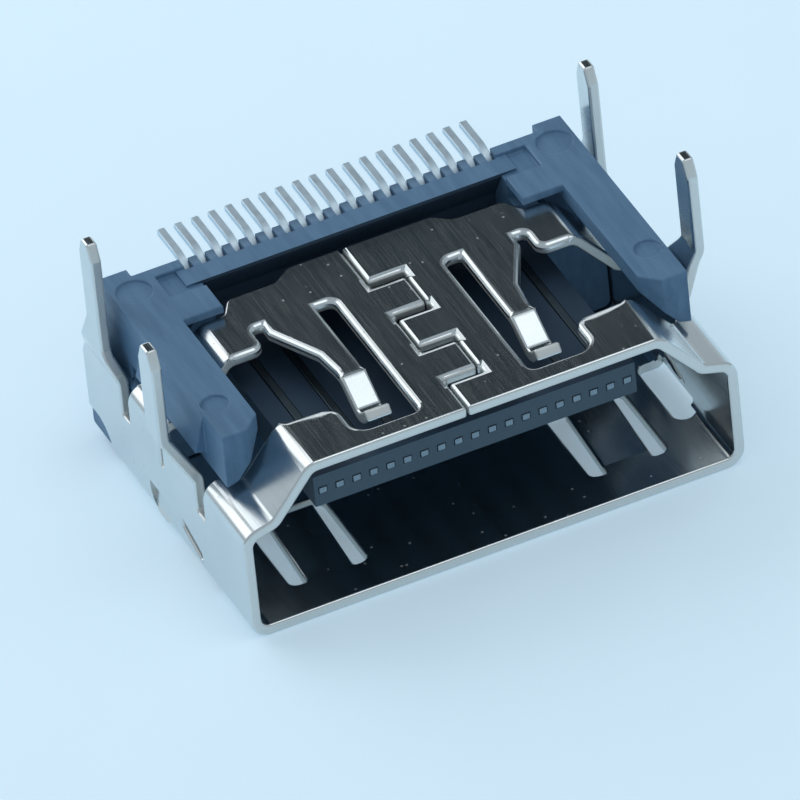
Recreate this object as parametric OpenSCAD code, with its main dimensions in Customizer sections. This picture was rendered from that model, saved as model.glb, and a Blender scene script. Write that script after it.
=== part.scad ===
// Board-mount digital video socket: a folded steel shell around a moulded
// insulator that carries a row of flat contacts on a tongue.
// Millimetres. X is to the right, Y runs from the mouth to the tails, Z is up.
// The part lies on its wide face, with the board side and the legs upwards.

/* [Mouth] */

// Clear width of the mouth
mouth_w = 14; // [13:0.1:16]
// Clear height of the mouth
mouth_h = 4.5; // [4.3:0.1:5.5]

/* [Shell] */

// Thickness of the folded sheet
sheet_t = 0.32; // [0.26:0.02:0.36]
// Radius of the sheet's middle line at each bend
bend_r = 0.42; // [0.32:0.02:0.5]
// Depth of the shell from the lip to its rear edge
shell_d = 10.35; // [9.85:0.05:12]
// Depth of the unbroken band behind the lip
band_d = 2.05; // [1.95:0.05:2.2]
// How far the springs of the narrow face dip below it
top_spring_dip = 0.62; // [0.4:0.02:0.76]
// How far the springs of the wide face rise above it
floor_spring_rise = 0.3; // [0.2:0.05:0.6]

/* [Seam] */

// Open slit between the two edges of the sheet
seam_gap = 0.07; // [0.05:0.01:0.12]
// Half the width that the locking slots span
lock_reach = 0.54; // [0.46:0.01:0.6]
// Width of each locking slot
lock_w = 0.28; // [0.22:0.02:0.36]
// Distance from one locking slot to the next
lock_pitch = 1.6; // [1.5:0.02:1.64]

/* [Board legs] */

// Length of the legs beyond the board seat
leg_reach = 2.2; // [1.6:0.1:3]
// Width of the front legs
front_leg_w = 0.88; // [0.75:0.01:1]
// Width of the rear legs
rear_leg_w = 0.8; // [0.7:0.01:0.95]
// Outward set of the front legs
front_leg_set = 0.76; // [0.6:0.02:0.9]
// Outward set of the rear legs
rear_leg_set = 0.22; // [0.14:0.02:0.3]

/* [Insulator] */

// Height of the board seat above the shell
seat_rise = 0.36; // [0.3:0.02:0.5]
// Width of each rail
rail_w = 1.24; // [1.1:0.02:1.3]
// Margin of the tongue beyond the middle of its outermost contacts
tongue_edge = 0.25; // [0.2:0.05:0.4]
// Thickness of the tongue
tongue_t = 1; // [0.94:0.02:1.1]
// Distance from the lip to the front of the tongue
tongue_set = 0.96; // [0.8:0.02:1.2]

/* [Contacts] */

// Distance between neighbouring contacts
contact_pitch = 0.5; // [0.44:0.01:0.51]
// Width of one contact
contact_w = 0.22; // [0.18:0.01:0.26]
// Thickness of one contact
contact_t = 0.18; // [0.14:0.01:0.2]
// Length of the tails behind the comb
tail_len = 1.45; // [1.2:0.05:1.8]

/* [Fits] */

// Clearance between the insulator and the shell
shell_fit = 0.04; // [0.02:0.01:0.08]
// Clearance around each contact in the insulator
contact_fit = 0.02; // [0.01:0.005:0.03]

/* [Hidden] */

CONTACTS = 19;
function two_digits(i) = str(i < 10 ? "0" : "", i);
CONTACT_NAMES = [for (i = [1:CONTACTS]) str("contact_", two_digits(i))];

$fn = 40;
// Cutters run past the solids by this much
past = 1;
// Largest step of a polygon arc, in degrees
arc_step = 10;

STEEL = [0.72, 0.77, 0.79];
TINNED = [0.62, 0.71, 0.76];
SLATE_BLUE = [0.31, 0.44, 0.57];

// Shell section
half_w = mouth_w / 2 + sheet_t;
shell_h = mouth_h + 2 * sheet_t;
wall_x = half_w - sheet_t / 2;
plate_z = shell_h - sheet_t / 2;
shoulder_z = shell_h - 1.69;
foot_x = half_w - 0.92;
foot_z = shell_h - 1.42;
plate_half = half_w - 2.1;

// Heights and depths on the side walls
slit_z = shoulder_z - 1.16;
slit_front = band_d + 0.55;
slit_w = 0.5;
opening_rear = shell_d - 5.15;
wall_opening_rear = opening_rear + 0.22;
wall_rear = shell_d - 2.95;
rear_slit_w = 0.5;

// Plan of the narrow face
plate_rear = shell_d - 2.35;
plate_step_x = plate_half * 0.46;
plate_step = 0.42;
plate_corner_x = plate_half - 1.12;
slope_rear = plate_rear - 1;
spring_in = plate_half * 0.41;
spring_w = 0.74;
spring_root_w = 1.6;
spring_flare = 0.1;
spring_root_y = plate_rear - 1.9;
spring_slot_w = 0.5;
spring_window_front = 0.65;
spring_window_out = spring_in + 1.36;
spring_bend_y = 3;
spring_low_y = spring_bend_y - 1.05;
spring_tip_y = spring_low_y - 0.55;
spring_tip_dip = 0.2;
notch_out = spring_in + 1.91;

// Locking seam
lock_first_y = 1.36;
seam_x = 0.02 - lock_reach;
lock_count = 4;
// Coined edges: their width, and their depth as a share of it
lock_bevel = 0.16;
slit_bevel = 0.08;
rear_bevel = 0.1;
bevel_fall = 0.27;

// Windows of the wide face
floor_spring_in = half_w - 3.57;
floor_spring_w = 1.4;
floor_slot_w = 0.44;
floor_window_front = band_d - 0.85;
floor_window_rear = floor_window_front + 3.1;
floor_spring_tip = floor_window_rear - 0.5;

// Openings across the lower corners, and the half-moon lances behind them
corner_in = half_w - 0.97;
corner_front = band_d + 0.05;
corner_out = half_w - 0.22;
corner_rear = opening_rear - 0.3;
corner_low = 0.36;
corner_high = 0.62;
slant_front = corner_rear - 1.8;
slant_rear = corner_rear - 0.6;
slant_low = 0.52;
slant_high = 0.94;
slant_w = 0.3;
lance_y = opening_rear + 0.45;
lance_z = 1.05;
lance_r = 0.72;
lance_in = 0.2;
lance_slit = 0.1;
rear_notch_y = shell_d - 1.5;
rear_notch_z = 1;
rear_notch_r = 0.94;

// Legs
seat_z = shell_h + seat_rise;
leg_tip_z = seat_z + leg_reach;
leg_root_z = slit_z - 0.29;
jog_low = shoulder_z - 0.15;
front_leg_y = slit_front + 1.16;
front_jog_high = shoulder_z + 1.25;
rear_leg_y = shell_d - 1.6;
rear_jog_high = shoulder_z + 0.55;
leg_taper = 0.5;
leg_tip_share = 0.5;

// Insulator
rail_out = half_w - 0.45;
rail_in = rail_out - rail_w;
rail_front = 1.8;
rail_gap = 0.2;
nose_chamfer = 0.5;
body_front = plate_rear - 0.4;
body_rear = shell_d - 0.1;
row_half = (CONTACTS - 1) / 2 * contact_pitch;
tongue_half = row_half + tongue_edge;
comb_front = plate_rear + 0.33;
comb_rear = shell_d - 0.93;
comb_half = row_half + 0.4;
comb_drop = 0.08;
block_front = plate_rear + 0.03;
block_in = rail_in - 1.18;
block_step_x = rail_in + 0.4;
block_rear = shell_d - 0.61;
tab_front = plate_rear - 1.05;
tab_t = seat_rise - 0.1;
pocket_rear = comb_rear - 0.37;
pocket_out = rail_in - 0.13;
pocket_depth = 0.16;
wedge_front = slit_front + 0.45;
wedge_rear = plate_rear - 1.1;
wedge_out = 0.33;
wedge_low = 1.25;
// Pad that fills the rear lower corner of the shell
pad_in = half_w - 2.5 * sheet_t;
pad_skin = 0.05;
mark_depth = 0.08;
rear_mark_y = block_rear - 0.99;
rear_mark_d = 1;
front_mark_y = rail_front + 1.45;
front_mark_d = 0.75;
front_mark_set = 0.47;
tongue_mid = sheet_t + mouth_h / 2 + 0.78;
tongue_low = tongue_mid - tongue_t / 2;
tongue_high = tongue_mid + tongue_t / 2;
// Deep groove between the narrow face and the comb, which overhangs it
groove_z = tongue_high + 0.2;
groove_rear = comb_front + 0.55;
comb_edge = 0.1;

// Contacts
proud = 0.03;
riser_y = comb_rear - 0.32;
tail_z = seat_z - contact_t / 2;
tail_tip = comb_rear + tail_len;
contact_bend_r = contact_t * 2;
tail_bend_r = contact_t * 4;
tip_run = 0.28;
ramp_run = 0.7;

overall_d = max(shell_d, tail_tip);

HALF_TURN = 180;

// Points and paths

function unit(v) = v / norm(v);
function quarter_turn(v) = [-v[1], v[0]];
function reversed(p) = [for (i = [len(p) - 1:-1:0]) p[i]];
function mirrored(p) = [for (q = reversed(p)) [-q[0], q[1]]];

// Arc that rounds the corner b between a and c
function corner_arc(a, b, c, r) =
    let (
        u = unit(a - b),
        v = unit(c - b),
        half = acos(u * v) / 2,
        middle = b + unit(u + v) * r / sin(half),
        from = b + u * r / tan(half) - middle,
        to = b + v * r / tan(half) - middle,
        start = atan2(from[1], from[0]),
        sweep = (atan2(to[1], to[0]) - start + 3 * HALF_TURN) % (2 * HALF_TURN) - HALF_TURN,
        steps = max(2, ceil(abs(sweep) / arc_step))
    )
    [for (i = [0:steps]) middle + r * [cos(start + sweep * i / steps), sin(start + sweep * i / steps)]];

function radius_at(r, i) = is_list(r) ? r[i] : r;

// Closed outline with rounded corners, where radius 0 leaves a corner sharp
function rounded_loop(p, r) =
    let (n = len(p))
    [for (i = [0:n - 1])
        each radius_at(r, i) > 0
            ? corner_arc(p[(i + n - 1) % n], p[i], p[(i + 1) % n], radius_at(r, i))
            : [p[i]]];

// Open path with rounded bends
function rounded_path(p, r) =
    let (n = len(p))
    concat(
        [p[0]],
        [for (i = [1:n - 2]) each corner_arc(p[i - 1], p[i], p[i + 1], radius_at(r, i - 1))],
        [p[n - 1]]
    );

// A vertex moved sideways by d from its two edges, which run along a and b
function mitred(v, a, b, d) =
    let (m = quarter_turn(unit(a)), k = quarter_turn(unit(b)))
    v + d * (m + k) / (1 + m * k);

// Closed outline moved inwards by d
function inset_loop(p, d) =
    let (n = len(p))
    [for (i = [0:n - 1]) mitred(p[i], p[i] - p[(i + n - 1) % n], p[(i + 1) % n] - p[i], d)];

// Open path moved to its left by d
function side_path(p, d) =
    let (n = len(p))
    [for (i = [0:n - 1])
        let (before = max(i, 1), after = min(i, n - 2))
        mitred(p[i], p[before] - p[before - 1], p[after + 1] - p[after], d)];

// Strip of sheet along a path, as a closed outline
function strip(p, t) = concat(side_path(p, t / 2), reversed(side_path(p, -t / 2)));

// Extrudes an outline drawn in X and Z along Y
module along_y(y0, y1) {
    translate([0, y1, 0])
        rotate([90, 0, 0])
            linear_extrude(y1 - y0) children();
}

// Extrudes an outline drawn in Y and Z along X
module along_x(x0, x1) {
    translate([x0, 0, 0])
        rotate([90, 0, 90])
            linear_extrude(x1 - x0) children();
}

// Extrudes an outline drawn in X and Y upwards
module upwards(z0, z1) {
    translate([0, 0, z0])
        linear_extrude(z1 - z0) children();
}

module block(x0, x1, y0, y1, z0, z1) {
    translate([x0, y0, z0]) cube([x1 - x0, y1 - y0, z1 - z0]);
}

module both_sides() {
    children();
    mirror([1, 0, 0]) children();
}

// Moves the part from the lip's frame to the row's frame, at its bottom centre
module placed() {
    translate([0, -overall_d / 2, 0]) children();
}

// Shell section

section_half = [
    [half_w, 0],
    [half_w, shoulder_z],
    [foot_x, foot_z],
    [plate_half, shell_h]
];
section_corners = concat(section_half, mirrored(section_half));
section_middle = rounded_loop(inset_loop(section_corners, sheet_t / 2), bend_r);
section_outer = inset_loop(section_middle, -sheet_t / 2);
section_inner = inset_loop(section_middle, sheet_t / 2);

// Shell cut-outs

// Big side opening, which also frees the spring of the narrow face
module side_opening() {
    slot_in = spring_in - spring_slot_w;
    far = half_w + past;
    upwards(slit_z, shell_h + past)
        polygon(rounded_loop([
            [slot_in, spring_window_front],
            [spring_window_out, spring_window_front],
            [spring_window_out, band_d],
            [foot_x, band_d],
            [wall_x - sheet_t, slit_front],
            [far, slit_front],
            [far, wall_opening_rear],
            [wall_x - sheet_t, wall_opening_rear],
            [foot_x, opening_rear],
            [notch_out, opening_rear],
            [notch_out, spring_root_y],
            [slot_in, spring_root_y]
        ], [0.22, 0.45, 0.5, 0.4, 0.2, 0, 0, 0.2, 0.4, 0.35, 0.16, 0.22]));
}

// Everything behind the rear edge of the narrow face and above the walls
module rear_opening() {
    far = half_w + past;
    edge = [
        [plate_step_x - 0.25, plate_rear],
        [plate_step_x + 0.25, plate_rear - plate_step],
        [plate_corner_x, plate_rear - plate_step],
        [plate_corner_x + 0.35, slope_rear],
        [foot_x, slope_rear],
        [wall_x - sheet_t, wall_rear],
        [far, wall_rear]
    ];
    radii = [0.4, 0.4, 0.25, 0.2, 0.4, 0.3, 0];
    back = shell_d + past;
    upwards(slit_z, shell_h + past)
        polygon(rounded_loop(
            concat(edge, [[far, back], [-far, back]], mirrored(edge)),
            concat(radii, [0, 0], reversed(radii))
        ));
}

module floor_window() {
    upwards(-past, sheet_t + past)
        polygon(rounded_loop([
            [floor_spring_in - floor_slot_w, floor_window_front],
            [floor_spring_in + floor_spring_w + floor_slot_w, floor_window_front],
            [floor_spring_in + floor_spring_w + floor_slot_w, floor_window_rear],
            [floor_spring_in - floor_slot_w, floor_window_rear]
        ], 0.24));
}

// Opening in the wide face, from the corner of the floor out to x
module corner_hole(x, high) {
    upwards(-past, high)
        polygon(rounded_loop([
            [corner_in, corner_front],
            [x, corner_front + 0.6],
            [x, corner_rear - 0.2],
            [corner_in, corner_rear]
        ], [0.3, 0, 0, 0.3]));
}

// Opening across the fold between the wide face and the wall, which leaves a thin bar below the slit
module corner_opening() {
    corner_hole(half_w + past, corner_low);
    corner_hole(corner_out, corner_high);
}

// Slanted slit in the wall above that opening
module slanted_slit() {
    along_x(half_w - 2 * sheet_t, half_w + past)
        polygon(rounded_loop([
            [slant_front, slant_low],
            [slant_rear, slant_high],
            [slant_rear, slant_high + slant_w],
            [slant_front, slant_low + slant_w]
        ], 0.1));
}

// Half disc of the wall below its slit, with a section drawn in X and Z
module half_moon(r) {
    intersection() {
        translate([half_w - past, lance_y, lance_z]) rotate([0, 90, 0]) cylinder(r = r, h = 2 * past);
        along_y(lance_y - lance_r - past, lance_y + lance_r + past) children();
    }
}

lance_low = [half_w, lance_z - lance_r];
lance_high = [half_w - lance_in, lance_z];

module lance_cut() {
    half_moon(lance_r)
        polygon([lance_low, lance_high, [half_w + past, lance_high[1]], [half_w + past, lance_low[1]]]);
    block(wall_x - sheet_t, half_w + past, lance_y - lance_r, lance_y + lance_r,
        lance_z, lance_z + lance_slit);
}

// The half disc, pressed inwards along the slit
module lance() {
    inwards = [-sheet_t, 0];
    half_moon(lance_r + 0.05)
        polygon([lance_low, lance_high, lance_high + inwards, lance_low + inwards]);
}

// Rear lower corner of the wall, where the insulator shows
module rear_corner() {
    along_x(half_w - 2 * bend_r, half_w + past)
        polygon(rounded_loop([
            [rear_notch_y, -past],
            [shell_d + past, -past],
            [shell_d + past, rear_notch_z],
            [rear_notch_y, rear_notch_z]
        ], [0, 0, 0, rear_notch_r]));
}

// Section of a cut through the narrow face, from u0 to u1, whose upper edges are coined w wide
function coined(u0, u1, w) = [
    [u0, shell_h - sheet_t - past],
    [u1, shell_h - sheet_t - past],
    [u1, shell_h - w * bevel_fall],
    [u1 + 2 * w, shell_h + w * bevel_fall],
    [u0 - 2 * w, shell_h + w * bevel_fall],
    [u0, shell_h - w * bevel_fall]
];

module coined_cut(x0, x1, y0, y1, w) {
    intersection() {
        along_y(y0 - past, y1 + past) polygon(coined(x0, x1, w));
        along_x(x0 - past, x1 + past) polygon(coined(y0, y1, w));
    }
}

function lock_y(i) = lock_first_y + i * lock_pitch;
function link_x(i) = i % 2 == 0 ? lock_reach - 0.06 : seam_x;

module seam_slit(x, y0, y1, w) {
    coined_cut(x - seam_gap / 2, x + seam_gap / 2, y0, y1, w);
}

// The two edges of the sheet meet in a line that steps through the locking slots
module seam() {
    for (i = [0:lock_count - 1])
        coined_cut(-lock_reach, lock_reach, lock_y(i) - lock_w / 2, lock_y(i) + lock_w / 2, lock_bevel);
    for (i = [0:lock_count - 2])
        seam_slit(link_x(i), lock_y(i), lock_y(i + 1), slit_bevel);
    seam_slit(seam_x, -past, lock_y(0), slit_bevel);
    seam_slit(seam_x, lock_y(lock_count - 1), plate_rear + past, rear_bevel);
}

// Shell pieces formed out of the sheet

// Spring cut from the narrow face, rooted at the rear and dipping to the mouth
module top_spring() {
    path = rounded_path([
        [spring_root_y + 0.4, plate_z],
        [spring_bend_y, plate_z],
        [spring_low_y, plate_z - top_spring_dip],
        [spring_tip_y, plate_z - top_spring_dip * spring_tip_dip]
    ], bend_r);
    intersection() {
        along_x(spring_in - past, notch_out) polygon(strip(path, sheet_t));
        upwards(0, shell_h + past)
            polygon([
                [spring_in, 0],
                [spring_in + spring_w, 0],
                [spring_in + spring_w, spring_bend_y + 0.3],
                [spring_in + spring_w + spring_flare, spring_bend_y + 1.15],
                [spring_in + spring_root_w, spring_root_y - 0.4],
                [spring_in + spring_root_w, plate_rear],
                [spring_in, plate_rear]
            ]);
    }
}

// Spring cut from the wide face, rooted at the mouth and rising to the rear
module floor_spring() {
    path = rounded_path([
        [floor_window_front - 0.3, sheet_t / 2],
        [floor_window_front + 0.3, sheet_t / 2],
        [floor_spring_tip, sheet_t / 2 + floor_spring_rise]
    ], bend_r);
    along_x(floor_spring_in, floor_spring_in + floor_spring_w) polygon(strip(path, sheet_t));
}

// Sheet that leaves the wall, sets outwards and stands straight
module set_sheet(set_out, jog_high, y0, y1) {
    along_y(y0, y1)
        polygon(strip(rounded_path([
            [wall_x, leg_root_z],
            [wall_x, jog_low],
            [wall_x + set_out, jog_high],
            [wall_x + set_out, leg_tip_z]
        ], bend_r), sheet_t));
}

function leg_tip(y, w) = [
    [y - w / 2, leg_tip_z - leg_taper],
    [y - w * leg_tip_share / 2, leg_tip_z],
    [y + w * leg_tip_share / 2, leg_tip_z],
    [y + w / 2, leg_tip_z - leg_taper]
];

module front_leg() {
    base_front = slit_front + slit_w;
    base_rear = opening_rear + 0.04;
    low = front_leg_y - front_leg_w / 2;
    high = front_leg_y + front_leg_w / 2;
    intersection() {
        set_sheet(front_leg_set, front_jog_high, base_front, base_rear);
        along_x(wall_x - past, half_w + 2 * past)
            polygon(rounded_loop(concat(
                [[base_rear, leg_root_z], [base_front, leg_root_z]],
                [[base_front, shoulder_z + 0.1], [low, shoulder_z + 0.85]],
                leg_tip(front_leg_y, front_leg_w),
                [[high, front_jog_high], [base_rear, jog_low]]
            ), [0, 0, 0.25, 0.3, 0.15, 0.1, 0.1, 0.15, 0.5, 0.4]));
    }
}

module rear_leg() {
    base_front = wall_rear + rear_slit_w;
    low = rear_leg_y - rear_leg_w / 2;
    high = rear_leg_y + rear_leg_w / 2;
    intersection() {
        set_sheet(rear_leg_set, rear_jog_high, base_front, shell_d);
        along_x(wall_x - past, half_w + 2 * past)
            polygon(rounded_loop(concat(
                [[shell_d, leg_root_z], [base_front, leg_root_z]],
                [[base_front, shoulder_z + 0.15], [low, shoulder_z + 0.8]],
                leg_tip(rear_leg_y, rear_leg_w),
                [[high, shoulder_z + 1.55], [shell_d - 0.2, jog_low], [shell_d, jog_low - 0.4]]
            ), [0, 0, 0.25, 0.2, 0.15, 0.1, 0.1, 0.15, 0.4, 0.3, 0.2]));
    }
}

module shell() {
    color(STEEL) placed() {
        difference() {
            along_y(0, shell_d) polygon(section_outer);
            along_y(-past, shell_d + past) polygon(section_inner);
            rear_opening();
            seam();
            both_sides() {
                side_opening();
                floor_window();
                corner_opening();
                slanted_slit();
                lance_cut();
                rear_corner();
            }
        }
        both_sides() {
            top_spring();
            floor_spring();
            front_leg();
            rear_leg();
            lance();
        }
    }
}

// Insulator

// Outline of the rail from above, with the inner corner of its nose cut off
module rail_plan() {
    polygon([
        [rail_in, rail_front + nose_chamfer],
        [rail_in + nose_chamfer, rail_front],
        [rail_out, rail_front],
        [rail_out, block_rear],
        [block_step_x, block_rear],
        [block_step_x, comb_rear],
        [rail_in, comb_rear]
    ]);
}

// Rail and rear block, cleared around the shell
module rail_body() {
    difference() {
        union() {
            upwards(shoulder_z - past, seat_z) rail_plan();
            block(block_in, rail_out, block_front, comb_rear, shoulder_z - past, seat_z);
            along_y(wedge_front, wedge_rear)
                polygon([
                    [rail_out - past / 2, seat_z - 0.06],
                    [rail_out, seat_z - 0.06],
                    [rail_out + wedge_out, seat_z - wedge_low],
                    [rail_out - past / 2, seat_z - wedge_low - 0.2]
                ]);
        }
        along_y(0, block_front) polygon(inset_loop(section_middle, -sheet_t / 2 - rail_gap));
    }
}

// Rail that runs forwards beside the shell and carries the board seat
module rail() {
    difference() {
        union() {
            rail_body();
            block(block_in, rail_in + past / 2, tab_front, block_front + past / 2, seat_z - tab_t, seat_z);
        }
        block(block_in - past, pocket_out, block_front, pocket_rear, seat_z - pocket_depth, seat_z + past);
        eject_mark((rail_in + rail_out) / 2, rear_mark_y, rear_mark_d);
        eject_mark(rail_out - front_mark_set, front_mark_y, front_mark_d);
    }
}

module eject_mark(x, y, d) {
    translate([x, y, seat_z - mark_depth]) cylinder(d = d, h = past);
}

function contact_x(i) = (i - (CONTACTS - 1) / 2) * contact_pitch;
function on_wide_side(i) = i % 2 == 0;
function lie_z(i) = on_wide_side(i)
    ? tongue_low + contact_t / 2 - proud
    : tongue_high - contact_t / 2 + proud;

// Middle line of a contact, from its tip at the tongue's front to its tail
function contact_path(i) = rounded_path([
    [tongue_set - proud, tongue_mid],
    [tongue_set + tip_run, tongue_mid],
    [tongue_set + ramp_run, lie_z(i)],
    [riser_y, lie_z(i)],
    [riser_y, tail_z],
    [tail_tip, tail_z]
], [contact_bend_r, contact_bend_r, contact_bend_r, tail_bend_r]);

// Room for a contact: its own path, the open slot behind its riser and the mouth of its tip
module contact_room(i) {
    side = contact_w / 2 + contact_fit;
    x = contact_x(i);
    along_x(x - side, x + side) polygon(strip(contact_path(i), contact_t + 2 * contact_fit));
    block(x - side, x + side, riser_y - contact_t / 2 - contact_fit, body_rear + past,
        lie_z(i) - contact_t / 2 - contact_fit, seat_z + past);
    block(x - side, x + side, tongue_set - past, tongue_set + contact_fit,
        tongue_mid - contact_t / 2 - contact_fit, tongue_mid + contact_t / 2 + contact_fit);
}

// Corner of the insulator that shows in the rear lower corner of the wall
module corner_pad() {
    front = rear_notch_y + shell_fit;
    high = rear_notch_z - shell_fit;
    intersection() {
        along_y(front, body_rear) polygon(inset_loop(section_middle, pad_skin - sheet_t / 2));
        along_x(pad_in, half_w)
            polygon(rounded_loop([
                [front, 0],
                [shell_d, 0],
                [shell_d, high],
                [front, high]
            ], [0, 0, 0, rear_notch_r]));
    }
}

// Dark groove behind the narrow face, undercut below the comb's front edge
module groove() {
    along_x(-block_in, block_in)
        polygon([
            [body_front - past, groove_z],
            [groove_rear, groove_z],
            [groove_rear, groove_z + 0.35],
            [comb_front, seat_z - comb_drop - comb_edge],
            [comb_front, seat_z + past],
            [body_front - past, seat_z + past]
        ]);
}

module housing() {
    color(SLATE_BLUE) placed() difference() {
        union() {
            along_y(body_front, body_rear)
                polygon(inset_loop(section_middle, sheet_t / 2 + shell_fit));
            block(-tongue_half, tongue_half, tongue_set, body_front + past, tongue_low, tongue_high);
            block(-comb_half, comb_half, comb_front, comb_rear, tongue_low, seat_z - comb_drop);
            both_sides() {
                rail();
                corner_pad();
            }
        }
        block(-comb_half, comb_half, comb_rear, shell_d + past, -past, seat_z + past);
        block(-half_w, half_w, block_rear, shell_d + past, foot_z, seat_z + past);
        groove();
        for (i = [0:CONTACTS - 1]) contact_room(i);
    }
}

module contact(i) {
    x = contact_x(i);
    color(TINNED) placed()
        along_x(x - contact_w / 2, x + contact_w / 2) polygon(strip(contact_path(i), contact_t));
}

shell();
housing();
for (i = [0:CONTACTS - 1])
    contact(i);
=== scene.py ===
"""Looks of a board-mount digital video socket, laid out as a Blender add-on and run as a script."""

import math

import bmesh
import bpy
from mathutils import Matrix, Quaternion, Vector
from mathutils.bvhtree import BVHTree


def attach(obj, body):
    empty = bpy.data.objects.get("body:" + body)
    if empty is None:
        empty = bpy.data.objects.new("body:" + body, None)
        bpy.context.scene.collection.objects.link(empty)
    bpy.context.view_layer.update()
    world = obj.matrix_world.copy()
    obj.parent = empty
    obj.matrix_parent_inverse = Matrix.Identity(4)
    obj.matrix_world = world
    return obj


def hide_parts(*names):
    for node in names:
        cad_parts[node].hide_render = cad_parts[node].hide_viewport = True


bl_info = {
    "name": "Digital video socket",
    "version": (1, 0, 0),
    "blender": (4, 5, 0),
    "location": "View3D > Sidebar > Socket",
    "description": "Dresses the socket's solids in plated steel, moulded plastic and tinned strip",
    "category": "Object",
}

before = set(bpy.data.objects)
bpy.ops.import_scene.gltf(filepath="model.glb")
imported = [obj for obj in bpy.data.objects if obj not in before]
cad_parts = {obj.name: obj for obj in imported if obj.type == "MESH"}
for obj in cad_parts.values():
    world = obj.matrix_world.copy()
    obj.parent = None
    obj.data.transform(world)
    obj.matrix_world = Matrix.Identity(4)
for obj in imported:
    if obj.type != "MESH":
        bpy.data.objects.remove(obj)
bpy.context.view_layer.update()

MM = 0.001


def both_sides(low, high):
    """A box on the right of the socket and its mirror image on the left, in millimetres."""
    mirrored = ((-high[0], *low[1:]), (-low[0], *high[1:]))
    return (low, high), mirrored


# The sheet's thickness in the solids
SHEET = 0.32 * MM
# A face with more metal behind it than this share of the sheet is a sheared edge
SHEARED_DEPTH = 1.1
# The flat ends of the legs lie above this level and are plated
LEG_END_LEVEL = 7.5 * MM
LEG_END_UP = 0.9
# A face whose normal rises more than this looks up
LOOKS_UP = 0.5

# Vertices closer than this are one
WELD = 0.0005 * MM
# Triangles that meet at less than this are one flat face
FLAT_ANGLE = math.radians(0.5)
# Faces that meet at more than this keep a crisp edge
CRISP_ANGLE = math.radians(12.5)
# Edges that turn more than this are rounded, in so many steps
ROUNDED_ANGLE = math.radians(30)
EDGE_STEPS = 3
# Large faces lead as much as the modifier allows when normals are averaged
LARGE_FACE_WEIGHT = 100

# The rims of the openings in the narrow face, as a box in millimetres
RIM_BOX = ((-5.3, -4.9, 5.13), (5.3, 1.0, 5.15))
# Rims that turn more than this are rolled to this width, in so many steps of a round profile
RIM_ANGLE = math.radians(60)
RIM_ROLL = 0.17 * MM
RIM_STEPS = 4
ROUND_PROFILE = 0.5

# The windows' front rims are coined wider than the roll, from the level of the narrow face down
PLATE_TOP = 5.14 * MM
# Centre and radius of the rim's rounded corner on the right
COIN_CORNER = Vector((4.0 * MM, -3.885 * MM))
COIN_CORNER_R = 0.5 * MM
# Where the coin runs out into the shoulder, and the length over which it fades
COIN_END = 5.03 * MM
COIN_FADE = 0.25 * MM
# What the coin adds to the roll's width, and how far it drops
COIN_WIDTH = 0.28 * MM
COIN_DROP = 0.09 * MM
# How far a vertex may lie from its place on the rolled rim
RIM_TOLERANCE = 0.01 * MM

# The tongue and the groove behind it in the solids, as boxes in millimetres
TONGUE_BOX = ((-4.76, -4.6, 2.8), (4.76, 2.2, 3.9))
GROOVE_BOX = ((-4.4, 1.9, 3.0), (4.4, 3.45, 5.45))
# Faces in the groove's box that look up and lie above this level belong to the rails' plastic; the others
# take the groove's painted shade
SEAT_LEVEL = 5.0 * MM

# Fine work that stays sharp, as boxes in millimetres
CONTACT_ROW_BOX = ((-4.95, -5.5, 2.7), (4.95, 4.1, 5.45))
LANCE_BOXES = both_sides((6.4, -0.6, 0.25), (7.6, 1.0, 1.2))
# The slots in the lower bends end in line with the bend, so their rims stay sharp
BEND_SLOT_BOXES = both_sides((6.9, -3.6, -0.02), (8.1, 0.1, 0.4))

# Contacts show their tips up to this depth, painted a darker grey than the tin as shade in the mouth, and up
# to the next depth inside the shell they are painted dark as shade
TIP_DEPTH = -4.4 * MM
TAIL_DEPTH = 2.6 * MM

# Places of the materials on a piece
PLATED, SHEARED = range(2)
# The tongue's and the groove's places carry painted shade, as darker copies of the insulator's colour
RAIL, TONGUE_SHADE, DEEP_SHADE = range(3)
TAIL, INNER_SHADE, TIP = range(3)

# The table is this wide from its middle, in metres, and lies this far below the socket
TABLE_HALF = 1.5
TABLE_DROP = 0.002 * MM
# Middle of the dark stretch in the room, with the cosines of its soft outer edge and of its core
DARK_WAY = Vector((0.287, 0.73, 0.62)).normalized()
DARK_EDGE = 0.93
DARK_CORE = 0.975
# Nothing nearer to the camera than this is drawn, in metres
CLIP_START = 0.01
# Each lamp's name, setting for its power, place, and width and height, in metres
LAMPS = (
    ("key_lamp", "key_power", (-0.06, 0.117, 0.09), (0.162, 0.149)),
    ("back_lamp", "back_power", (0.05, 0.19, 0.045), (0.2, 0.08)),
    ("top_lamp", "top_power", (0.03, -0.025, 0.12), (0.068, 0.068)),
)

# Nodes of the contacts in the solids
CONTACTS = sorted(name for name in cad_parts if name.startswith("contact_"))


def linear(hex_colour):
    """Turns an sRGB hex colour into linear red, green and blue."""
    channels = [int(hex_colour[i : i + 2], 16) / 255 for i in (1, 3, 5)]
    return [c / 12.92 if c <= 0.04045 else ((c + 0.055) / 1.055) ** 2.4 for c in channels]


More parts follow.
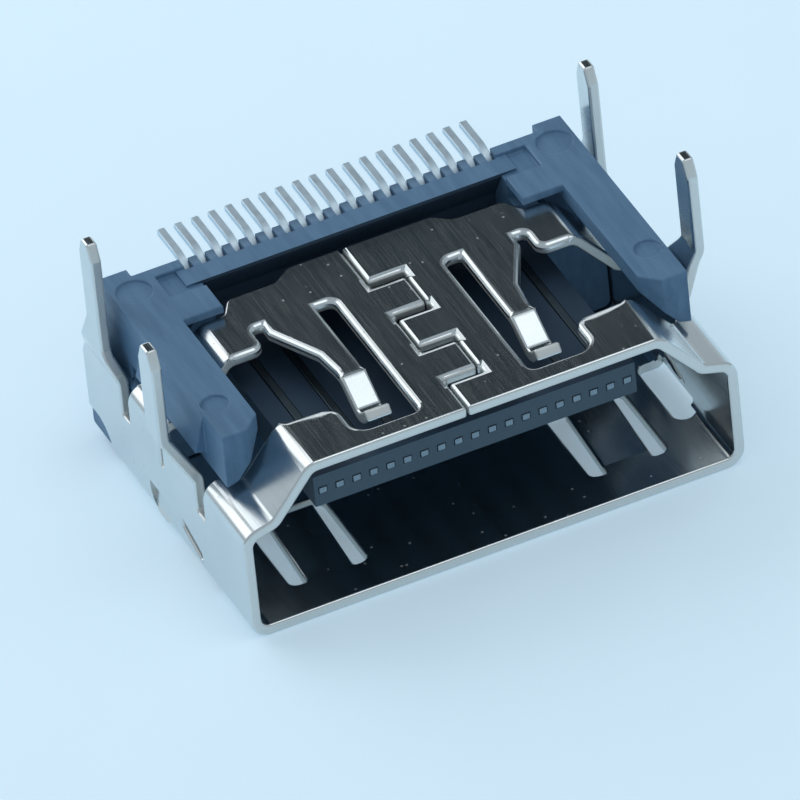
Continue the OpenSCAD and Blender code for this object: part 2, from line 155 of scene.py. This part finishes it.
class SocketFinish(bpy.types.PropertyGroup):
    """Colours of the socket and of what it lies on"""

    nickel: bpy.props.FloatVectorProperty(
        name="Nickel plate",
        description="Colour of the shell's plated faces",
        subtype="COLOR",
        default=linear("#D7DDDF"),
    )
    nickel_tint: bpy.props.FloatVectorProperty(
        name="Nickel tint",
        description="Colour that the plating drifts to in soft patches",
        subtype="COLOR",
        default=linear("#C7D1D5"),
    )
    sheared: bpy.props.FloatVectorProperty(
        name="Sheared edge",
        description="Colour of the sheet's cut edges",
        subtype="COLOR",
        default=linear("#DADFDE"),
    )
    plastic: bpy.props.FloatVectorProperty(
        name="Insulator",
        description="Colour of the moulded insulator",
        subtype="COLOR",
        default=linear("#6286A6"),
    )
    plastic_flow: bpy.props.FloatVectorProperty(
        name="Insulator flow marks",
        description="Colour of the darker streaks that the melt leaves",
        subtype="COLOR",
        default=linear("#567999"),
    )
    # Painted shade: the tongue is a darker copy of the insulator's colour, standing in for the shade in the
    # mouth
    tongue: bpy.props.FloatVectorProperty(
        name="Tongue",
        description="Colour of the insulator where it carries the contacts",
        subtype="COLOR",
        default=linear("#485D6C"),
    )
    # Painted shade: a darker copy of the insulator for the groove, the faces under the narrow face and the
    # tongue's upper face
    groove: bpy.props.FloatVectorProperty(
        name="Groove",
        description="Colour of the insulator under the narrow face and in the deep groove behind it",
        subtype="COLOR",
        default=linear("#34475A"),
    )
    tin: bpy.props.FloatVectorProperty(
        name="Tinned strip",
        description="Colour of the contacts",
        subtype="COLOR",
        default=linear("#C9DBE6"),
    )
    # Painted shade: the contacts inside the shell are a dark copy of the tin
    inner_shade: bpy.props.FloatVectorProperty(
        name="Inner strip",
        description="Colour of the contacts inside the shell",
        subtype="COLOR",
        default=linear("#55626B"),
    )
    tip: bpy.props.FloatVectorProperty(
        name="Contact tip",
        description="Colour of the contacts where they end in the tongue's front",
        subtype="COLOR",
        default=linear("#8799A5"),
    )
    floor: bpy.props.FloatVectorProperty(
        name="Floor",
        description="Colour of the pale table",
        subtype="COLOR",
        default=linear("#DCF2FF"),
    )


class SocketEdges(bpy.types.PropertyGroup):
    """Small radii on the edges of the pieces"""

    shell: bpy.props.FloatProperty(
        name="Shell edge",
        description="Width of the rounding on the sheet's edges",
        subtype="DISTANCE",
        unit="LENGTH",
        default=0.07 * MM,
        precision=6,
    )
    insulator: bpy.props.FloatProperty(
        name="Insulator edge",
        description="Width of the rounding on the moulded edges",
        subtype="DISTANCE",
        unit="LENGTH",
        default=0.04 * MM,
        precision=6,
    )
    contact: bpy.props.FloatProperty(
        name="Contact edge",
        description="Width of the rounding on the stamped contacts",
        subtype="DISTANCE",
        unit="LENGTH",
        default=0.02 * MM,
        precision=6,
    )


class SocketStudio(bpy.types.PropertyGroup):
    """Camera and light"""

    azimuth: bpy.props.FloatProperty(
        name="Azimuth",
        description="Turn of the camera round the socket",
        subtype="ANGLE",
        default=math.radians(-21.43),
    )
    elevation: bpy.props.FloatProperty(
        name="Elevation",
        description="Height of the camera above the horizon",
        subtype="ANGLE",
        default=math.radians(38.37),
    )
    roll: bpy.props.FloatProperty(
        name="Roll",
        description="Tilt of the camera about its own axis",
        subtype="ANGLE",
        default=math.radians(6.09),
    )
    distance: bpy.props.FloatProperty(
        name="Distance",
        description="Distance from the camera to the point that it looks at",
        subtype="DISTANCE",
        unit="LENGTH",
        default=0.5948,
    )
    lens: bpy.props.FloatProperty(
        name="Lens",
        description="Focal length, long because the photograph is nearly parallel",
        unit="CAMERA",
        default=1000.0,
    )
    aim: bpy.props.FloatVectorProperty(
        name="Aim",
        description="Point in the middle of the picture",
        subtype="XYZ",
        unit="LENGTH",
        precision=6,
        default=(-0.665 * MM, -0.972 * MM, 2.399 * MM),
    )
    key_power: bpy.props.FloatProperty(
        name="Key light",
        description="Power of the soft lamp high behind the socket on the left",
        unit="POWER",
        default=0.07,
    )
    back_power: bpy.props.FloatProperty(
        name="Back light",
        description="Power of the low wide lamp behind the socket, which the rolled edges mirror",
        unit="POWER",
        default=0.024,
    )
    top_power: bpy.props.FloatProperty(
        name="Top light",
        description="Power of the small soft lamp overhead",
        unit="POWER",
        default=0.012,
    )
    room_colour: bpy.props.FloatVectorProperty(
        name="Room",
        description="Colour of the pale room around the socket",
        subtype="COLOR",
        default=linear("#E9F4FC"),
    )
    dark_colour: bpy.props.FloatVectorProperty(
        name="Dark stretch",
        description="Colour of the dark stretch of the room, which the plated faces mirror",
        subtype="COLOR",
        default=linear("#37434A"),
    )
    lamp_colour: bpy.props.FloatVectorProperty(
        name="Lamps",
        description="Colour of the soft lamps",
        subtype="COLOR",
        default=linear("#FFFFFF"),
    )
    room: bpy.props.FloatProperty(
        name="Room light",
        description="Strength of the pale room around the socket",
        default=0.55,
    )
    table_glow: bpy.props.FloatProperty(
        name="Table glow",
        description="Share of its own colour that the table adds where the camera and mirrors see it",
        default=0.27,
    )


def add_node(tree, kind, inputs=None, **settings):
    """Adds a node, sets it up and links or fills its inputs."""
    node = tree.nodes.new(kind)
    for name, value in settings.items():
        setattr(node, name, value)
    for name, value in (inputs or {}).items():
        if isinstance(value, bpy.types.NodeSocket):
            tree.links.new(value, node.inputs[name])
        else:
            node.inputs[name].default_value = value
    return node


def per_metre(millimetres):
    """Texture scale that gives features of that size."""
    return 1 / (millimetres * MM)


def rgba(colour):
    """A colour with full cover."""
    return (*colour, 1.0)


def new_material(name):
    """An empty node material with its nodes and the coordinates of the frame."""
    material = bpy.data.materials.new(name)
    material.use_nodes = True
    tree = material.node_tree
    tree.nodes.clear()
    coordinates = add_node(tree, "ShaderNodeTexCoord").outputs["Object"]
    return material, tree, coordinates


def finish_material(tree, shader):
    """Links the shader to the material's output."""
    add_node(tree, "ShaderNodeOutputMaterial", {"Surface": shader.outputs["BSDF"]})


def nickel_plated_steel(finish):
    """Bright nickel on rolled steel: clear reflections, soft drifts of tint, faint lines and stray specks."""
    material, tree, coordinates = new_material("nickel_plated_steel")
    # Drifts of tint are about 1.4 mm wide
    patches = add_node(
        tree,
        "ShaderNodeTexNoise",
        {"Vector": coordinates, "Scale": per_metre(1.4), "Detail": 2.0, "Roughness": 0.5},
    )
    tint = add_node(
        tree,
        "ShaderNodeMix",
        {"Factor": patches.outputs["Fac"], "A": rgba(finish.nickel), "B": rgba(finish.nickel_tint)},
        data_type="RGBA",
    )
    # Specks of dust and pits are about 0.05 mm wide and about 0.5 mm apart
    cells = add_node(
        tree,
        "ShaderNodeTexVoronoi",
        {"Vector": coordinates, "Scale": per_metre(0.5), "Randomness": 1.0},
    )
    near = add_node(
        tree,
        "ShaderNodeMapRange",
        {
            "Value": cells.outputs["Distance"],
            "From Min": 0.04,
            "From Max": 0.11,
            "To Min": 0.4,
            "To Max": 0.0,
        },
    )
    # Rolling lines run along the sheet, 1.5 mm long and drawn 0.03 mm wide, as coarse as they need to show
    grain_space = add_node(
        tree,
        "ShaderNodeMapping",
        {"Vector": coordinates, "Scale": (per_metre(0.03), per_metre(1.5), per_metre(0.03))},
    )
    grain = add_node(
        tree,
        "ShaderNodeTexNoise",
        {"Vector": grain_space.outputs["Vector"], "Scale": 1.0, "Detail": 2.0},
    )
    roughness = add_node(
        tree,
        "ShaderNodeMapRange",
        {"Value": grain.outputs["Fac"], "From Min": 0.3, "From Max": 0.7, "To Min": 0.17, "To Max": 0.25},
    )
    relief = add_node(
        tree,
        "ShaderNodeBump",
        {"Height": grain.outputs["Fac"], "Strength": 0.08, "Distance": 0.01 * MM},
    )
    colour = add_node(
        tree,
        "ShaderNodeMix",
        {"Factor": near.outputs["Result"], "A": tint.outputs["Result"], "B": rgba(finish.sheared)},
        data_type="RGBA",
    )
    metal = add_node(tree, "ShaderNodeMath", {0: 1.0, 1: near.outputs["Result"]}, operation="SUBTRACT")
    shader = add_node(
        tree,
        "ShaderNodeBsdfPrincipled",
        {
            "Base Color": colour.outputs["Result"],
            "Metallic": metal.outputs["Value"],
            "Roughness": roughness.outputs["Result"],
            "Normal": relief.outputs["Normal"],
        },
    )
    finish_material(tree, shader)
    return material


def sheared_steel(finish):
    """Cut edge of the sheet: burnished where the punch slid, torn and paler below, so it scatters light."""
    material, tree, coordinates = new_material("sheared_steel")
    # Tear lines run through the thickness, 0.04 mm apart
    tear_space = add_node(
        tree,
        "ShaderNodeMapping",
        {"Vector": coordinates, "Scale": (per_metre(0.04), per_metre(0.04), per_metre(0.3))},
    )
    tears = add_node(
        tree,
        "ShaderNodeTexNoise",
        {"Vector": tear_space.outputs["Vector"], "Scale": 1.0, "Detail": 3.0},
    )
    roughness = add_node(
        tree,
        "ShaderNodeMapRange",
        {"Value": tears.outputs["Fac"], "From Min": 0.3, "From Max": 0.7, "To Min": 0.36, "To Max": 0.52},
    )
    relief = add_node(
        tree,
        "ShaderNodeBump",
        {"Height": tears.outputs["Fac"], "Strength": 0.2, "Distance": 0.01 * MM},
    )
    shader = add_node(
        tree,
        "ShaderNodeBsdfPrincipled",
        {
            "Base Color": rgba(finish.sheared),
            "Metallic": 0.8,
            "Roughness": roughness.outputs["Result"],
            "Normal": relief.outputs["Normal"],
        },
    )
    finish_material(tree, shader)
    return material


def moulded_polymer(name, base, flow_colour):
    """Glass-filled liquid crystal polymer: satin, with flow streaks along the rails and a fine dry grain."""
    material, tree, coordinates = new_material(name)
    # Flow streaks are about 0.25 mm wide and 2 mm long
    flow_space = add_node(
        tree,
        "ShaderNodeMapping",
        {"Vector": coordinates, "Scale": (per_metre(0.25), per_metre(2.0), per_metre(0.6))},
    )
    flow = add_node(
        tree,
        "ShaderNodeTexNoise",
        {"Vector": flow_space.outputs["Vector"], "Scale": 1.0, "Detail": 3.0},
    )
    streaks = add_node(
        tree,
        "ShaderNodeMapRange",
        {"Value": flow.outputs["Fac"], "From Min": 0.35, "From Max": 0.65, "To Min": 0.0, "To Max": 1.0},
    )
    colour = add_node(
        tree,
        "ShaderNodeMix",
        {"Factor": streaks.outputs["Result"], "A": rgba(base), "B": rgba(flow_colour)},
        data_type="RGBA",
    )
    # The grain of the mould is about 0.06 mm
    grain = add_node(
        tree,
        "ShaderNodeTexNoise",
        {"Vector": coordinates, "Scale": per_metre(0.06), "Detail": 2.0},
    )
    roughness = add_node(
        tree,
        "ShaderNodeMapRange",
        {"Value": flow.outputs["Fac"], "From Min": 0.3, "From Max": 0.7, "To Min": 0.42, "To Max": 0.55},
    )
    relief = add_node(
        tree,
        "ShaderNodeBump",
        {"Height": grain.outputs["Fac"], "Strength": 0.25, "Distance": 0.01 * MM},
    )
    shader = add_node(
        tree,
        "ShaderNodeBsdfPrincipled",
        {
            "Base Color": colour.outputs["Result"],
            "Roughness": roughness.outputs["Result"],
            "IOR": 1.6,
            "Specular IOR Level": 0.25,
            "Normal": relief.outputs["Normal"],
        },
    )
    finish_material(tree, shader)
    return material


def plated_strip(name, colour):
    """Plated copper alloy, a little cloudy with blurred reflections: pale tin, and darker copies of it that
    paint the shade inside the shell.
    """
    material, tree, coordinates = new_material(name)
    # The clouds are about 0.2 mm wide
    cloud = add_node(
        tree,
        "ShaderNodeTexNoise",
        {"Vector": coordinates, "Scale": per_metre(0.2), "Detail": 2.0},
    )
    roughness = add_node(
        tree,
        "ShaderNodeMapRange",
        {"Value": cloud.outputs["Fac"], "From Min": 0.3, "From Max": 0.7, "To Min": 0.42, "To Max": 0.55},
    )
    shader = add_node(
        tree,
        "ShaderNodeBsdfPrincipled",
        {"Base Color": rgba(colour), "Metallic": 1.0, "Roughness": roughness.outputs["Result"]},
    )
    finish_material(tree, shader)
    return material


def matt_table(finish, glow):
    """Matt pale table top: no gloss, with a very faint mottle. Only the camera and mirrors see its glow."""
    material, tree, coordinates = new_material("matt_table")
    # The mottle is about 6 mm wide
    mottle = add_node(
        tree,
        "ShaderNodeTexNoise",
        {"Vector": coordinates, "Scale": per_metre(6.0), "Detail": 2.0},
    )
    shade = add_node(
        tree,
        "ShaderNodeMapRange",
        {"Value": mottle.outputs["Fac"], "To Min": 0.985, "To Max": 1.015},
    )
    colour = add_node(
        tree,
        "ShaderNodeVectorMath",
        {0: tuple(finish.floor), "Scale": shade.outputs["Result"]},
        operation="SCALE",
    )
    rays = add_node(tree, "ShaderNodeLightPath")
    seen = rays.outputs["Is Camera Ray"]
    for ray in ("Is Glossy Ray", "Is Transmission Ray"):
        either = add_node(tree, "ShaderNodeMath", {0: seen, 1: rays.outputs[ray]}, operation="MAXIMUM")
        seen = either.outputs["Value"]
    shine = add_node(tree, "ShaderNodeMath", {0: seen, 1: glow}, operation="MULTIPLY")
    shader = add_node(
        tree,
        "ShaderNodeBsdfPrincipled",
        {
            "Base Color": colour.outputs["Vector"],
            "Roughness": 0.9,
            "Specular IOR Level": 0.1,
            "Emission Color": colour.outputs["Vector"],
            "Emission Strength": shine.outputs["Value"],
        },
    )
    finish_material(tree, shader)
    return material


def mark_sheared_faces(shape):
    """Marks each face with more metal behind it than the sheet's thickness, apart from the legs' ends."""
    tree = BVHTree.FromBMesh(shape)
    for face in shape.faces:
        middle = face.calc_center_median()
        if middle.z > LEG_END_LEVEL and face.normal.z > LEG_END_UP:
            continue
        start = middle - face.normal * WELD
        depth = tree.ray_cast(start, -face.normal)[3]
        if depth is None or depth > SHEET * SHEARED_DEPTH:
            face.material_index = SHEARED


def inside(point, box):
    """Whether a point in metres lies in a box in millimetres."""
    low, high = box
    return all(low[i] * MM <= point[i] <= high[i] * MM for i in range(3))


def mark_tongue_faces(shape):
    """Marks the tongue for its painted shade, and marks its upper face with the groove's darker painted
    shade.
    """
    for face in shape.faces:
        middle = face.calc_center_median()
        if inside(middle, TONGUE_BOX):
            face.material_index = DEEP_SHADE if face.normal.z > LOOKS_UP else TONGUE_SHADE
        elif inside(middle, GROOVE_BOX) and (face.normal.z < LOOKS_UP or middle.z < SEAT_LEVEL):
            face.material_index = DEEP_SHADE


def mark_inner_faces(shape):
    """Marks the tip of a contact and its faces inside the shell, which take painted shade."""
    for face in shape.faces:
        depth = face.calc_center_median().y
        if depth < TIP_DEPTH:
            face.material_index = TIP
        elif depth < TAIL_DEPTH:
            face.material_index = INNER_SHADE


def choose_rounded_edges(shape, left_sharp):
    """Weighs each edge that turns enough and lies outside the boxes of fine work."""
    weight = shape.edges.layers.float.new("bevel_weight_edge")
    for edge in shape.edges:
        if not edge.is_manifold or edge.calc_face_angle() < ROUNDED_ANGLE:
            continue
        middle = (edge.verts[0].co + edge.verts[1].co) / 2
        if not any(inside(middle, box) for box in left_sharp):
            edge[weight] = 1.0


def roll_rims(shape):
    """Rolls the rims of the openings in the narrow face, where the punch went in."""
    rims = []
    for edge in shape.edges:
        if not edge.is_manifold or edge.calc_face_angle() < RIM_ANGLE:
            continue
        if all(inside(vertex.co, RIM_BOX) for vertex in edge.verts):
            rims.append(edge)
    bmesh.ops.bevel(
        shape,
        geom=rims,
        offset=RIM_ROLL,
        offset_type="OFFSET",
        segments=RIM_STEPS,
        profile=ROUND_PROFILE,
        affect="EDGES",
        clamp_overlap=False,
    )


def coin_front_rims(shape):
    """Widens the roll of the windows' front rims into a shallow slope, which mirrors the low light."""
    for vertex in shape.verts:
        side = math.copysign(1.0, vertex.co.x)
        from_corner = Vector((side * vertex.co.x, vertex.co.y)) - COIN_CORNER
        to_end = COIN_END - side * vertex.co.x
        if from_corner.y < 0 or to_end < 0 or from_corner.x < -COIN_CORNER_R - RIM_TOLERANCE:
            continue
        outward = Vector((min(from_corner.x, 0.0), from_corner.y))
        reach = outward.length
        depth = PLATE_TOP - vertex.co.z
        inner_reach = COIN_CORNER_R - RIM_ROLL
        if not inner_reach - RIM_TOLERANCE < reach < COIN_CORNER_R + RIM_TOLERANCE:
            continue
        if not -RIM_TOLERANCE < depth < RIM_ROLL:
            continue
        outward.normalize()
        share = outward.y**2 * min(1.0, to_end / COIN_FADE)
        if reach < inner_reach + RIM_TOLERANCE:
            vertex.co.x -= side * outward.x * share * COIN_WIDTH
            vertex.co.y -= outward.y * share * COIN_WIDTH
        else:
            vertex.co.z -= share * COIN_DROP * (1 - depth / RIM_ROLL)


def finished_piece(node, name, edge, materials, mark=None, left_sharp=(), rolled=False):
    """A piece with rounded edges and smooth bends that stands for a CAD node."""
    shape = bmesh.new()
    shape.from_mesh(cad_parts[node].data)
    bmesh.ops.remove_doubles(shape, verts=shape.verts, dist=WELD)
    for face in shape.faces:
        face.material_index = 0
        face.smooth = True
    shape.normal_update()
    if mark:
        mark(shape)
    bmesh.ops.dissolve_limit(
        shape,
        angle_limit=FLAT_ANGLE,
        verts=shape.verts,
        edges=shape.edges,
        delimit={"MATERIAL"},
    )
    if rolled:
        roll_rims(shape)
    choose_rounded_edges(shape, left_sharp)
    if rolled:
        coin_front_rims(shape)
    mesh = bpy.data.meshes.new(name)
    shape.to_mesh(mesh)
    shape.free()
    for place in sorted(materials):
        mesh.materials.append(materials[place])
    mesh.set_sharp_from_angle(angle=CRISP_ANGLE)
    piece = bpy.data.objects.new(name, mesh)
    bpy.context.scene.collection.objects.link(piece)
    rounding = piece.modifiers.new("edge_rounding", "BEVEL")
    rounding.width = edge
    rounding.segments = EDGE_STEPS
    rounding.limit_method = "WEIGHT"
    rounding.use_clamp_overlap = False
    rounding.miter_outer = "MITER_ARC"
    flat_faces = piece.modifiers.new("flat_faces", "WEIGHTED_NORMAL")
    flat_faces.weight = LARGE_FACE_WEIGHT
    flat_faces.keep_sharp = True
    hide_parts(node)
    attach(piece, "root")


class SOCKET_OT_shell(bpy.types.Operator):
    """Dresses the folded shell in nickel plate with pale sheared edges"""

    bl_idname = "socket.shell"
    bl_label = "Folded shell"

    def execute(self, context):
        finish = context.scene.socket_finish
        materials = {PLATED: nickel_plated_steel(finish), SHEARED: sheared_steel(finish)}
        finished_piece(
            "shell",
            "folded_shell",
            context.scene.socket_edges.shell,
            materials,
            mark_sheared_faces,
            LANCE_BOXES + BEND_SLOT_BOXES,
            rolled=True,
        )
        return {"FINISHED"}


class SOCKET_OT_insulator(bpy.types.Operator):
    """Dresses the moulded insulator in satin polymer, with painted shade on the tongue and in the groove"""

    bl_idname = "socket.insulator"
    bl_label = "Insulator"

    def execute(self, context):
        finish = context.scene.socket_finish
        materials = {
            RAIL: moulded_polymer("moulded_polymer", finish.plastic, finish.plastic_flow),
            # The tongue's and the groove's polymers are darker copies of the insulator that paint shade
            TONGUE_SHADE: moulded_polymer("moulded_polymer_tongue", finish.tongue, finish.tongue),
            DEEP_SHADE: moulded_polymer("moulded_polymer_groove", finish.groove, finish.groove),
        }
        finished_piece(
            "housing",
            "moulded_insulator",
            context.scene.socket_edges.insulator,
            materials,
            mark_tongue_faces,
            (CONTACT_ROW_BOX,),
        )
        return {"FINISHED"}


class SOCKET_OT_contacts(bpy.types.Operator):
    """Dresses every contact in tinned strip, with painted shade on its tip and inside the shell"""

    bl_idname = "socket.contacts"
    bl_label = "Contacts"

    def execute(self, context):
        finish = context.scene.socket_finish
        materials = {
            TAIL: plated_strip("tin_plated_strip", finish.tin),
            INNER_SHADE: plated_strip("inner_plated_strip", finish.inner_shade),
            TIP: plated_strip("tip_plated_strip", finish.tip),
        }
        for node in CONTACTS:
            finished_piece(
                node,
                node.replace("contact", "tinned_contact"),
                context.scene.socket_edges.contact,
                materials,
                mark_inner_faces,
            )
        return {"FINISHED"}


def soft_lamp(name, place, size, power, colour):
    """A soft lamp of some width and height that looks at the socket."""
    light = bpy.data.lights.new(name, "AREA")
    light.shape = "ELLIPSE"
    light.size, light.size_y = size
    light.energy = power
    light.color = colour
    lamp = bpy.data.objects.new(name, light)
    lamp.location = place
    lamp.rotation_mode = "QUATERNION"
    lamp.rotation_quaternion = (-Vector(place)).to_track_quat("-Z", "Y")
    bpy.context.scene.collection.objects.link(lamp)


def pale_room(studio):
    """A pale room with one dark stretch high behind the socket, which the plated faces mirror."""
    world = bpy.data.worlds.new("pale_room")
    world.use_nodes = True
    tree = world.node_tree
    tree.nodes.clear()
    direction = add_node(tree, "ShaderNodeTexCoord").outputs["Generated"]
    towards = add_node(
        tree,
        "ShaderNodeVectorMath",
        {0: direction, 1: tuple(DARK_WAY)},
        operation="DOT_PRODUCT",
    )
    share = add_node(
        tree,
        "ShaderNodeMapRange",
        {"Value": towards.outputs["Value"], "From Min": DARK_EDGE, "From Max": DARK_CORE},
        interpolation_type="SMOOTHSTEP",
    )
    colour = add_node(
        tree,
        "ShaderNodeMix",
        {
            "Factor": share.outputs["Result"],
            "A": rgba(studio.room_colour),
            "B": rgba(studio.dark_colour),
        },
        data_type="RGBA",
    )
    light = add_node(
        tree,
        "ShaderNodeBackground",
        {"Color": colour.outputs["Result"], "Strength": studio.room},
    )
    add_node(tree, "ShaderNodeOutputWorld", {"Surface": light.outputs["Background"]})
    bpy.context.scene.world = world


def table_top(finish, glow):
    """A wide plane just under the socket."""
    turns = ((-1, -1), (1, -1), (1, 1), (-1, 1))
    corners = [(x * TABLE_HALF, y * TABLE_HALF, -TABLE_DROP) for x, y in turns]
    mesh = bpy.data.meshes.new("table_top")
    mesh.from_pydata(corners, [], [(0, 1, 2, 3)])
    mesh.materials.append(matt_table(finish, glow))
    floor = bpy.data.objects.new("table_top", mesh)
    bpy.context.scene.collection.objects.link(floor)


def long_camera(studio):
    """The camera at the photograph's angle."""
    lens = bpy.data.cameras.new("camera")
    lens.lens = studio.lens
    lens.clip_start = CLIP_START
    camera = bpy.data.objects.new("camera", lens)
    flat = math.cos(studio.elevation)
    back = Vector(
        (
            math.sin(studio.azimuth) * flat,
            -math.cos(studio.azimuth) * flat,
            math.sin(studio.elevation),
        )
    )
    camera.location = Vector(studio.aim) + back * studio.distance
    camera.rotation_mode = "QUATERNION"
    level = (-back).to_track_quat("-Z", "Y")
    camera.rotation_quaternion = Quaternion(-back, studio.roll) @ level
    bpy.context.scene.collection.objects.link(camera)
    bpy.context.scene.camera = camera


class SOCKET_OT_stage(bpy.types.Operator):
    """Sets the pale table, the room, the lamps and the camera"""

    bl_idname = "socket.stage"
    bl_label = "Stage"

    def execute(self, context):
        studio = context.scene.socket_studio
        context.scene.view_settings.view_transform = "Standard"
        table_top(context.scene.socket_finish, studio.table_glow)
        pale_room(studio)
        for name, power, place, size in LAMPS:
            soft_lamp(name, place, size, getattr(studio, power), studio.lamp_colour)
        long_camera(studio)
        return {"FINISHED"}


class SOCKET_PT_panel(bpy.types.Panel):
    """Lists the socket's pieces and settings"""

    bl_idname = "SOCKET_PT_panel"
    bl_label = "Digital video socket"
    bl_space_type = "VIEW_3D"
    bl_region_type = "UI"
    bl_category = "Socket"

    def draw(self, context):
        layout = self.layout
        for operator in OPERATORS:
            layout.operator(operator.bl_idname)
        for name in SETTINGS:
            group = getattr(context.scene, name)
            for field in group.__annotations__:
                layout.prop(group, field)


OPERATORS = (SOCKET_OT_shell, SOCKET_OT_insulator, SOCKET_OT_contacts, SOCKET_OT_stage)
SETTINGS = {"socket_finish": SocketFinish, "socket_edges": SocketEdges, "socket_studio": SocketStudio}
CLASSES = (*SETTINGS.values(), *OPERATORS, SOCKET_PT_panel)


def register():
    """Registers the classes and hangs the settings on the scene."""
    for cls in CLASSES:
        bpy.utils.register_class(cls)
    for name, group in SETTINGS.items():
        setattr(bpy.types.Scene, name, bpy.props.PointerProperty(type=group))


def unregister():
    """Takes the settings and the classes away again."""
    for name in SETTINGS:
        delattr(bpy.types.Scene, name)
    for cls in reversed(CLASSES):
        bpy.utils.unregister_class(cls)


def main():
    """Builds the dressed socket on its stage."""
    register()
    bpy.ops.socket.shell()
    bpy.ops.socket.insulator()
    bpy.ops.socket.contacts()
    bpy.ops.socket.stage()


if __name__ == "__main__":
    main()
